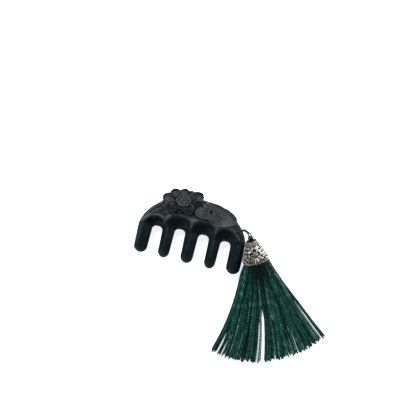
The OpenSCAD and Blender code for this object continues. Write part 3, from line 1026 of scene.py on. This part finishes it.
class COMB_OT_relief(bpy.types.Operator):
    """Models the lotus, its seed pod, the round leaf, the narrow leaves and the borders"""

    bl_idname = "comb.relief"
    bl_label = "Carved relief"

    # Relief of a petal: lip along the rim, ribs and how many, crease down the middle, bulge
    LIP = 0.42
    RIB = 0.22
    RIBS = 7
    CREASE = 0.4
    BULGE = 1.2
    # How far the petals, the round leaf and the narrow leaves reach down, and the scale of the underside
    # of those that are undercut
    PETAL_DEEP = 2.6
    PETAL_UNDER = 0.76
    LEAF_DEEP = 3.0
    LEAF_UNDER = 0.93
    BLADE_DEEP = 2.4
    # Beads on the pod's and petals' edges
    SMALL_BEAD = 0.5
    # Steps along the moulding of a gouge, over how many of them to each side it is evened out, and how
    # many it takes to sink in at its ends
    STEPS = 48
    EVENED = 4
    SINKING = 9

    def petal(self, row):
        """Cupped lotus petal: ribbed inside, with a lip along its rim and a row of beads on some."""
        x, y, z, length, width, turn, lift, cup, curl, beads = row

        def half(u):
            return width / 2 * max(0.0, math.sin(math.pi * u ** 0.9)) ** 0.6

        def place(u, v):
            """Point of the petal's face: u from its foot to its tip, v across from -1 to 1."""
            to_rim = min((1 - abs(v)) * half(u), (1 - u) * length * 0.8)
            lip = self.LIP * peak(to_rim, 0.55, 0.34)
            ribs = self.RIB * math.cos(v * self.RIBS * math.pi) * smooth_step(to_rim - 0.7)
            crease = self.CREASE * peak(v * half(u), 0, 0.4) * smooth_step(to_rim - 0.5)
            bulge = self.BULGE * (1 - (2 * u - 1) ** 2)
            hollow = cup * (abs(v) ** 2.2 - 0.4) * min(1.0, 3.2 * half(u) / width)
            top = bulge + hollow + curl * max(0, 2 * u - 1) ** 2 + lip + ribs - crease
            return Vector(((u - 0.5) * length, v * half(u), top))

        def rule(co):
            # The grid's lines lie closer together towards the rim
            return place((1 - math.cos(math.pi * (co.x + 1) / 2)) / 2, math.sin(math.pi / 2 * co.y))

        face = sculpt(grid(30, 56), rule)
        parts = [thicken(face, self.PETAL_DEEP, self.PETAL_UNDER)]
        for a in spread(-115, 115, beads) if beads else ():
            at = place(0.5 + 0.45 * math.cos(a), 0.9 * math.copysign(1, a))
            if abs(a) < 0.3:
                at.y = 0
            parts.append(dot(at + 0.15 * UP, self.SMALL_BEAD))
        return put(
            join(parts),
            Matrix.Translation(Vector((x, y, z)) * MM)
            @ Matrix.Rotation(math.radians(turn), 4, "Z")
            @ Matrix.Rotation(-math.radians(lift), 4, "Y"),
        )

    def blade(self, surface, row):
        """Narrow pointed leaf on the surface, with a raised midrib and slanting side veins."""
        x, y, length, width, turn, proud = row
        way = polar(1, math.radians(turn))
        across = Vector((-way.y, way.x))

        def rule(co):
            u, v = (co.x + 1) / 2, co.y
            half = width / 2 * max(0.0, math.sin(math.pi * (0.05 + 0.95 * u ** 0.8))) ** 0.85
            at = Vector((x, y)) + way * (u - 0.5) * length + across * v * half
            vein = 0.14 * math.cos(2 * math.pi * (u * 7 - abs(v) * 1.3)) * (1 - abs(v)) ** 0.5
            top = proud * (1 - abs(v) ** 3) + 0.4 * peak(v * half, 0, 0.35) + vein
            sunk = 0.9 * (2 * u - 1) ** 4
            return Vector((*at, surface.height(*at) + top + 0.25 - sunk))

        face = sculpt(grid(44, 20), rule)
        return thicken(face, self.BLADE_DEEP)

    def pod(self):
        """Seed pod: a tilted cup with a rim, seven round cells with a seed in each, and a fringe."""
        cup = primitive(
            bpy.ops.mesh.primitive_cone_add, vertices=72, radius1=POD_FOOT_R * MM, radius2=POD_R * MM,
            depth=POD_DEEP * MM,
        )
        with editing(cup, faces=lambda face: face.normal.z > 0.9):
            for inset, rise in ((0.8, -0.9), (0.5, 0.5)):
                bpy.ops.mesh.inset(thickness=inset * MM)
                extrude(rise)
        change(cup, "BEVEL", width=0.22 * MM, segments=2, limit_method="ANGLE", angle_limit=0.6)
        parts = [cup]
        outer = [polar(POD_RING_R, math.radians(60 * k + 12)) for k in range(6)]
        for x, y in [(0, 0), *outer]:
            parts.append(primitive(
                bpy.ops.mesh.primitive_torus_add, location=Vector((x, y, 2.8)) * MM,
                major_radius=CELL_R * MM, minor_radius=0.4 * MM, major_segments=28, minor_segments=10,
            ))
            parts.append(dot((x, y, 1.95), SEED_R))
        for k in range(32):
            lower = k % 2
            at = polar(POD_R + 0.8 + 0.4 * lower, 2 * math.pi * k / 32)
            parts.append(dot((*at, -0.2 - 0.7 * lower), self.SMALL_BEAD))
        return put(join(parts), POD_PLACE)

    def round_leaf(self, surface):
        """Lotus leaf on the crown: incised veins around the pit, a rim that curls under and a fold."""
        rim = spline(LEAF_RIM, 12)
        last = len(rim) - 1

        def rule(co):
            turn, reach = rim[round((co.x + 1) / 2 * last) % last]
            turn = math.radians(turn)
            out = (co.y + 1) / 2
            reach *= 1 + 0.012 * math.sin(turn * 18)
            r = mix(0.25, reach, out)
            at = LEAF_PIT + polar(r, turn)
            z = max(surface.height(*at), 12.5) + 1.5 + 0.5 * math.sin(math.pi * min(1, r / 12))
            for a, b, deep in LEAF_VEIN:
                a, b = Vector(a), Vector(b)
                share = max(0.0, min(1.0, (at - a).dot(b - a) / (b - a).length_squared))
                away = (at - a.lerp(b, share)).length
                z += deep * (0.3 * peak(away, 1.0, 0.5) - peak(away, 0, 0.34) * (1 - 0.6 * share))
            z += 0.05 * math.sin(turn * 46) * smooth_step((out - 0.3) * 3)
            z += 0.3 * peak((1 - out) * reach, 0.9, 0.5) - 0.9 * out ** 30
            return Vector((*at, z - 2.4 * peak(r, 0, 1.3)))

        leaf = sculpt(grid(last, 64), rule)
        with editing(leaf):
            bpy.ops.mesh.remove_doubles(threshold=MERGE)
        pit = LEAF_PIT * MM
        with editing(leaf, edges=lambda a, b: max((a.xy - pit).length, (b.xy - pit).length) < 0.3 * MM):
            bpy.ops.mesh.edge_face_add()
        fold = [Vector((*at, surface.height(*at) + 2.0)) for at in spline(LEAF_FOLD, 6)]
        return [thicken(leaf, self.LEAF_DEEP, self.LEAF_UNDER), wire([fold], 1.1, 8)]

    def border(self, surface, start, end, count, inset, size):
        """Beads, or the slanting strands of a rope, along the outline from one angle to another."""
        parts = []
        half, rise = HALF_W - inset, CROWN_RISE - inset
        for a in spread(start, end, count):
            x, y = half * math.cos(a), CROWN_CY + rise * math.sin(a)
            along = math.atan2(rise * math.cos(a), -half * math.sin(a))
            place = Matrix.Translation(Vector((x, y, surface.height(x, y))) * MM)
            slant = Matrix.Rotation(along + math.radians(55), 4, "Z")
            parts.append(put(ball((0, 0, 0), size, 12, 8), place @ slant))
        return parts

    def moulding(self, surface, row):
        """Round moulding on the rim where a gouge meets the crown."""
        x, y, z, radius, start, end = row
        middle = Vector((x, y))
        angles = spread(start, end, self.STEPS + 1)
        reaches = []
        for a in angles:
            reach, above = radius, -1.0
            while above < 0 and reach > 6:
                reach -= 0.1
                above = surface.height(*(middle + polar(reach, a))) + 0.25
                above -= z - math.sqrt(radius ** 2 - reach ** 2)
            reaches.append(reach)
        rim = []
        for k, a in enumerate(angles):
            near = reaches[max(0, k - self.EVENED):k + self.EVENED + 1]
            at = middle + polar(sum(near) / len(near), a)
            sunk = 0.1 + 0.5 * (1 - smooth_step(min(k, self.STEPS - k) / self.SINKING))
            rim.append(Vector((*at, surface.height(*at) - sunk)))
        return wire([rim], 0.6, self.SINKING)

    def paint_paler_places(self, piece, spots, rims=()):
        """Paints the piece paler at the given spots, and paints highlights on the crown along the gouges'
        rims.
        """
        crest = piece.data.attributes["crest"].data
        for vertex, point in zip(piece.data.vertices, crest):
            x, y, z = vertex.co / MM
            if z < 12 or y < ROOT_Y:
                continue
            point.value += max(
                amount * math.exp(-((x - at_x) ** 2 + (y - at_y) ** 2) / size ** 2)
                for at_x, at_y, size, amount in spots
            )
            # Painted highlight along the rims of the gouges
            for *middle, radius, _, _ in rims if z > 17 else ():
                point.value += 0.2 * peak(math.dist((x, y, z), middle) - radius, 0.9, 1.1)

    def paint_bloom_light_and_shade(self, bloom):
        """Paints a highlight on the pod's rim, and paints shade into its cells and onto the petals behind
        it.
        """
        out_of_pod = POD_PLACE.inverted()
        for vertex, crest in zip(bloom.data.vertices, bloom.data.attributes["crest"].data):
            at = out_of_pod @ vertex.co / MM
            reach = at.xy.length
            # Painted highlight on the rim, painted shade in the cells and on the petals towards the crown's
            # top edge
            if reach < POD_R + 0.4 and abs(at.z - 3.1) < 0.25:
                crest.value = 0.80
            elif reach < POD_R - 0.6 and 1.5 < at.z < 3:
                crest.value = 0.02
            elif reach > POD_R + 1.5:
                crest.value -= 0.2 * smooth_step((vertex.co.y / MM - 12) / 6)

    def execute(self, context):
        plain_start()
        body = bpy.data.objects["comb_body"]
        surface = Surface(body)
        bloom = join([self.petal(row) for row in PETAL] + [self.pod()], "lotus_bloom")
        leaf = join(self.round_leaf(surface), "lotus_leaf")
        carving = [self.blade(surface, row) for row in BLADE]
        carving += [self.moulding(surface, row) for row in GOUGE]
        for row in BORDER:
            carving += self.border(surface, *row)
        carving = join(carving, "shoulder_carving")
        everything = [body, bloom, leaf, carving]
        # Painted shade in the cuts and painted highlights on the crests of every piece, from its height
        # above its surroundings
        paint_relief_shading(body, everything, cell=0.5, reach=6, gain=0.24)
        for piece in everything[1:]:
            paint_relief_shading(piece, everything)
        # Paler spots, and painted highlights along the gouges' rims
        self.paint_paler_places(body, PALE_SPOTS, GOUGE)
        self.paint_paler_places(leaf, LEAF_PALE_SPOTS)
        self.paint_paler_places(carving, CARVING_PALE_SPOTS)
        self.paint_bloom_light_and_shade(bloom)
        for piece, finish, tones in (
            (bloom, "dark wood, chisel finish", BLOOM_SHADING),
            (leaf, "dark wood, scraped and left dull", LEAF_SHADING),
            (carving, "dark wood, carving with painted shade", CARVING_SHADING),
        ):
            finish_piece(piece, carved_wood(finish, tones), angle=50)
        return {"FINISHED"}


class COMB_OT_bell(bpy.types.Operator):
    """Models the cast bell cap with its rays, scrolls and granules, and the bead above it"""

    bl_idname = "comb.bell"
    bl_label = "Bell cap and bead"

    # The wall's outside: distance from the narrow end, radius
    WALL = [(0, 4.9), (0.7, 5.3), (9.66, 9.45), (19.2, 12.9), (19.6, 13.15), (CAP_L, 13.15)]
    # Distances of the wall's rings, down the outside and back up inside
    OUTSIDE = [0, 0.35, 0.7, 3, 6, 9.66, 13, 16, 19.2, 19.6, CAP_L]
    INSIDE = [CAP_L, 16, 9.66, 1.2]
    # The rosette's distance, and the scrolls around it: across, distance, size
    ROSE = 11.6
    SCROLLS = [
        (-5.6, 9.4, 1.35), (5.6, 9.4, 1.35), (-8.4, 9.2, 1.2), (8.4, 9.2, 1.2),
        (-6.6, 12.6, 1.4), (6.6, 12.6, 1.4), (-9.8, 12.8, 1.4), (9.8, 12.8, 1.4),
        (-1.5, 5.6, 1.25), (1.5, 5.6, 1.25), (-4.5, 5.9, 1.3), (4.5, 5.9, 1.3), (7.5, 5.8, 1.25),
        (-8.9, 15.6, 1.2), (8.9, 15.6, 1.2), (12.2, 15.6, 1.2), (-11.9, 18.5, 1.1), (11.9, 18.5, 1.1),
    ]
    # Radius of a granule
    GRANULE = 0.5
    POINTS_A_TURN = 14
    # A scroll winds in by this share of its size
    WOUND_IN = 0.82
    # The rays end above the rim
    RAY_END = 20.4

    def radius(self, down):
        """Radius of the bell's outer wall at that distance from its narrow end."""
        return float(numpy.interp(down, *zip(*self.WALL)))

    def on_wall(self, across, down, out):
        """Point over the wall: across in millimetres along the circle at down, out from the wall."""
        r = self.radius(down)
        return Vector((*polar(r + out, across / r), down))

    def around(self, down, count, out):
        """Points evenly round the wall."""
        step = 2 * math.pi * self.radius(down) / count
        return [self.on_wall(step * k, down, out) for k in range(count)]

    def spiral(self, across, down, size, turns, start, hand, thick):
        """Scroll on the wall that winds in to its middle."""
        points = []
        count = self.POINTS_A_TURN * turns
        for k in range(int(count) + 1):
            f = k / count
            x, y = polar(size * (1 - self.WOUND_IN * f), start + hand * 2 * math.pi * turns * f)
            points.append(self.on_wall(across + x, down + y, 0.15))
        return wire([points], thick, 2)

    def ray(self, angle):
        """Ray from the rosette down to the rim, or out to the next panel."""
        reach = min(8.6 / max(0.3, -math.sin(angle)), 12.5)
        points = []
        for f in (0.0, 0.25, 0.5, 0.75, 1.0):
            x, y = polar(mix(3.3, reach, f), angle)
            points.append(self.on_wall(x, min(self.ROSE - y, self.RAY_END), 0.1))
        return wire([points], 0.5, 2)

    def panel(self):
        """One third of the bell: a rosette with rays down to the rim, horns over it and scrolls around."""
        parts = [
            self.spiral(0.0, self.ROSE, 2.5, 1.7, 2.2, 1, 0.46),
            self.spiral(-2.6, 8.4, 1.5, 1.2, -0.6, -1, 0.44),
            self.spiral(2.6, 8.4, 1.5, 1.2, 3.7, 1, 0.44),
        ]
        for across, down, size in self.SCROLLS:
            hand = 1 if across > 0 else -1
            parts.append(self.spiral(across, down, size, 1.5, across + down, hand, 0.36))
        parts += [self.ray(angle) for angle in spread(-142, -38, 9)]
        # Granules on the ground wherever there is room between the scrolls and outside the rays
        taken = [(0.0, self.ROSE, 3.0), (-2.6, 8.4, 1.6), (2.6, 8.4, 1.6), *self.SCROLLS]
        for row in range(9):
            down = 5.2 + 1.75 * row
            for k in range(-7, 8):
                across = (k + 0.5 * (row % 2)) * 1.85
                on_rays = down > 14 and abs(across) < 1.6 * (down - 10)
                if on_rays or abs(across) > math.pi / 3 * self.radius(down):
                    continue
                if all(math.dist((across, down), (x, y)) > size + 0.6 for x, y, size in taken):
                    parts.append(dot(self.on_wall(across, down, 0.0), self.GRANULE))
        return join(parts)

    def shell(self):
        """The bare bell, hollow and bored for the cord, extruded ring by ring from its narrow end."""
        bell = disc(self.radius(0), 120)
        # Outside, then the rim's face set in by the wall, then the inside
        rings = [(down, self.radius(down)) for down in self.OUTSIDE]
        rings += [(down, self.radius(down) - CAP_WALL) for down in self.INSIDE]
        with editing(bell):
            for (down0, r0), (down1, r1) in zip(rings, rings[1:]):
                extrude(down1 - down0, (r1 / r0, r1 / r0), (0, 0, down1 * MM))
        close_up(bell)
        drill(bell, BEAD_BORE, 6)
        change(bell, "BEVEL", width=0.22 * MM, segments=2, limit_method="ANGLE", angle_limit=0.7)
        crest = bell.data.attributes.new("crest", "FLOAT", "POINT").data
        for vertex, point in zip(bell.data.vertices, crest):
            down = vertex.co.z / MM
            point.value = 0.85 if down > CAP_L - 0.1 else 0.12 if down < 0.9 else 0.06
        return bell

    def ornament(self):
        """Two raised rings with a row of beads between them, over three panels."""
        parts = []
        for down, thick in ((0.95, 0.34), (3.8, 0.22)):
            ring = self.around(down, 72, 0.05)
            parts.append(wire([ring + ring[:1]], thick, 2))
        parts += [dot(at, 0.62) for at in self.around(2.4, 20, 0.1)]
        panel = self.panel()
        parts.append(panel)
        parts += [put(twin(panel), Matrix.Rotation(2 * math.pi * k / 3, 4, "Z")) for k in (1, 2)]
        relief = join(parts)
        # Painted shade: the side towards the comb is darker
        crest = relief.data.attributes.new("crest", "FLOAT", "POINT").data
        for vertex, point in zip(relief.data.vertices, crest):
            point.value = 0.95 - 0.3 * smooth_step(vertex.co.y / MM / 9)
        return relief

    def execute(self, context):
        sizes = context.scene.comb_bell
        plain_start()
        cap = join([self.shell(), self.ornament()], "cast_bell")
        put(cap, Matrix.Translation(CAP_TOP_AT * MM) @ CAP_TURN)
        finish_piece(cap, antique_silver(sizes.plate), "tassel_cap", angle=35)
        bead = rename(ball((0, 0, 0), (BEAD_D / 2,) * 3, 48, 32), "glass_bead")
        drill(bead, BEAD_BORE, 9, sides=40)
        change(bead, "BEVEL", width=0.12 * MM, segments=3, limit_method="ANGLE", angle_limit=0.6)
        put(close_up(bead), Matrix.Translation(BEAD_AT * MM) @ CAP_TURN)
        finish_piece(bead, polished_black(sizes.glass), "bead", angle=40)
        return {"FINISHED"}


class COMB_OT_tassel(bpy.types.Operator):
    """Lays the tassel's threads out of the bell in a flat fan, with its partings and loose ends"""

    bl_idname = "comb.tassel"
    bl_label = "Tassel threads"

    # Layers from the top one down to the one on the surface: height, sideways shift, share of the threads,
    # and tone, darker in the lower layers as painted shade
    LAYERS = [(1.0, 0.0, 1.0, 0.38), (0.76, 0.5, 1.0, 0.34), (0.4, 0.25, 0.9, 0.26), (0.05, 0.75, 1.0, 0.26)]
    # Loose threads that hang across the middle partings: lane, length
    LOOSE = [(-0.080, 101), (-0.070, 99), (-0.060, 97), (-0.052, 100), (0.02, 103), (-0.12, 102)]
    # Partings of the fan: lane from -1 to 1, where it opens and how fast as shares of the length, and
    # half its width
    PARTINGS = [
        (-0.035, 0.43, 0.14, 2.1), (-0.105, 0.48, 0.20, 0.9), (-0.86, 0.50, 0.22, 2.4),
        (-0.78, 0.64, 0.12, 1.2), (-0.72, 0.70, 0.10, 0.8), (0.93, 0.28, 0.22, 0.8), (0.15, 0.88, 0.08, 0.9),
    ]
    BUNDLES = 34
    # Length of the longest threads, which the partings' shares refer to
    REACH = 103
    # Radius of the threads' head where it leaves the bell
    HEAD_R = 11.0
    # No thread in the layers is paler than this
    PALEST = 0.66
    # Slant of the plies, as millimetres for one turn
    PITCH = 3.1

    def fan(self, lane, s):
        """Place across the fan of a lane, from -1 to 1, at distance s from the rim."""
        wide = -2.6 * max(0.0, -lane) ** 1.5 * smooth_step(s / 12)
        return 11.6 * lane + (-0.02 + 0.35 * lane) * s + (-0.00145 + 0.0023 * lane) * s * s + wide

    def heights(self, lane, s, f):
        """Lowest and highest thread of a lane at distance s: out of the round bell down to a flat fan."""
        round_part = math.sqrt(max(0.0, 1 - (0.94 * lane) ** 2))
        s = max(s, 0)
        low = (CAP_RIM_AT.z - self.HEAD_R * round_part) * math.exp(-s / 14) + 0.5
        high = 2.0 + (20.5 * mix(round_part, 1, f)) * math.exp(-s / 21)
        return low, mix(high, CAP_RIM_AT.z + 10.6 * round_part, math.exp(-s / 5))

    def route(self, lane, level, length, rng, shift=0.0):
        """Points of one thread in the fan's frame: s along the bell's heading, t to its right."""
        wave, phase = rng.uniform(0.1, 0.5), rng.uniform(0, 6.3)
        drift = rng.gauss(0, 0.008)
        bundle = (math.floor(lane * self.BUNDLES / 2 + shift) + 0.5 - shift) / self.BUNDLES * 2
        pull = rng.uniform(0.0, 0.3) if level > 0.9 else 0.0
        points, s, gone = [], -4.0, 0.0
        while True:
            f = max(0.0, s / self.REACH)
            here = lane + drift * f + (bundle - lane) * pull * smooth_step(f * 2.5)
            t = self.fan(here, s) if s > 0 else self.HEAD_R * lane
            for parting, opens, run, half in self.PARTINGS:
                side = 1 if lane > parting else -1
                away = max(0.0, side * (here - parting)) / (0.06 + 0.08 * abs(parting))
                t += side * half * smooth_step((f - opens) / run) * math.exp(-away)
            t += wave * math.sin(s / 17 + phase) * smooth_step(f * 3)
            lift = 0.35 * math.sin(s / 11 + 2 * phase) * smooth_step(f * 4) * level
            point = Vector((s, t, max(0.5, mix(*self.heights(lane, s, f), level) + lift)))
            if s > 0:
                gone = point.xy.length
            if gone > length:
                back = (gone - length) / (point - points[-1]).length
                points.append(mix(point, points[-1], min(1.0, back)))
                return points
            points.append(point)
            s += 3.9 if s < 12 else 7.1

    def lay_out(self, sizes):
        """Points and tone of every thread."""
        rng = random.Random(11)
        lines, tones = [], []
        for level, shift, share, tone in self.LAYERS:
            count = int(sizes.threads * share)
            for k in range(count):
                lane = mix(-1, 1, (k + 0.5 + shift * 0.9) / (count + 0.5)) + rng.uniform(-0.4, 0.4) / count
                length = sizes.length / MM - 3.0 * max(0.0, -lane) ** 2 - 1.5 * (1 - lane * lane)
                length += 1.2 * math.sin(k * 1.7) + rng.uniform(-2.4, 0.9)
                height = min(1.0, max(0.0, level + rng.uniform(-0.12, 0.06)))
                lines.append(self.route(lane, height, length, rng, shift))
                tones.append(min(self.PALEST, max(0.0, rng.gauss(tone, 0.19))))
        for lane, length in self.LOOSE:
            lines.append(self.route(lane, 0.9, length, rng))
            tones.append(1.0)
        return lines, tones

    def mark(self, threads, lines, tones, radius):
        """Writes along each thread its length so far, its turn round the thread and its tone, and a
        shade that is darker on its underside and in the middle of the fan under the bell."""
        mesh = threads.data
        mesh.attributes.new("shade", "FLOAT", "POINT")
        along = mesh.attributes.new("along", "FLOAT_VECTOR", "POINT").data
        shade = mesh.attributes["shade"].data
        # A converted curve lists the rings of its end caps first, from the last thread to the first
        rings = [(k, i) for k in reversed(range(len(lines))) for i in (len(lines[k]) - 1, 0)]
        rings += [(k, i) for k, points in enumerate(lines) for i in range(len(points))]
        sides = len(mesh.vertices) // len(rings)
        gone = [lengths(points) for points in lines]
        for n, (k, i) in enumerate(rings):
            point = lines[k][i]
            reach = max(0.0, point.x)
            middle = peak(point.y, 0, max(3.5, 11 - 0.22 * reach))
            bare = 1 - 0.9 * middle * peak(reach, 0, 42)
            for side in range(sides):
                v = n * sides + side
                above = (mesh.vertices[v].co.z / MM - point.z) / radius
                along[v].vector = (gone[k][i], side / sides + 0.618 * k % 1, tones[k])
                shade[v].value = bare * (0.62 + 0.38 * above)

    def execute(self, context):
        sizes = context.scene.comb_tassel
        plain_start()
        radius = sizes.thread_d / 2 / MM
        lines, tones = self.lay_out(sizes)
        threads = rename(wire(lines, radius), "tassel_threads")
        self.mark(threads, lines, tones, radius)
        rim = Vector((*CAP_RIM_AT.xy, 0)) * MM
        put(threads, Matrix.Translation(rim) @ Matrix.Rotation(CAP_HEADING, 4, "Z"))
        colours = [(0.08, "#010a09"), (0.36, "#062e2a"), (0.66, sizes.dye), (0.98, "#80a49d")]
        material = spun_thread("dyed rayon thread, two-ply", colours, self.PITCH)
        finish_piece(threads, material, "tassel")
        return {"FINISHED"}


OPERATORS = ["stage", "cord", "body", "relief", "bell", "tassel"]
GROUPS = {
    "comb_sizes": CombSizes,
    "comb_bell": BellSizes,
    "comb_cord": CordSizes,
    "comb_tassel": TasselSizes,
    "comb_stage": StageSizes,
}


class COMB_PT_panel(bpy.types.Panel):
    bl_label = "Scalp massage comb"
    bl_idname = "COMB_PT_panel"
    bl_space_type = "VIEW_3D"
    bl_region_type = "UI"
    bl_category = "Comb"

    def draw(self, context):
        for name in OPERATORS:
            self.layout.operator("comb." + name)
        for group in GROUPS:
            sizes = getattr(context.scene, group)
            for name in sizes.bl_rna.properties.keys():
                if name not in ("rna_type", "name"):
                    self.layout.prop(sizes, name)


CLASSES = [
    *GROUPS.values(), COMB_OT_stage, COMB_OT_cord, COMB_OT_body, COMB_OT_relief, COMB_OT_bell,
    COMB_OT_tassel, COMB_PT_panel,
]


def register():
    for item in CLASSES:
        bpy.utils.register_class(item)
    for name, group in GROUPS.items():
        setattr(bpy.types.Scene, name, PointerProperty(type=group))


def unregister():
    for name in GROUPS:
        delattr(bpy.types.Scene, name)
    for item in reversed(CLASSES):
        bpy.utils.unregister_class(item)


def main():
    register()
    for name in OPERATORS:
        getattr(bpy.ops.comb, name)()
    plain_start()


if __name__ == "__main__":
    main()
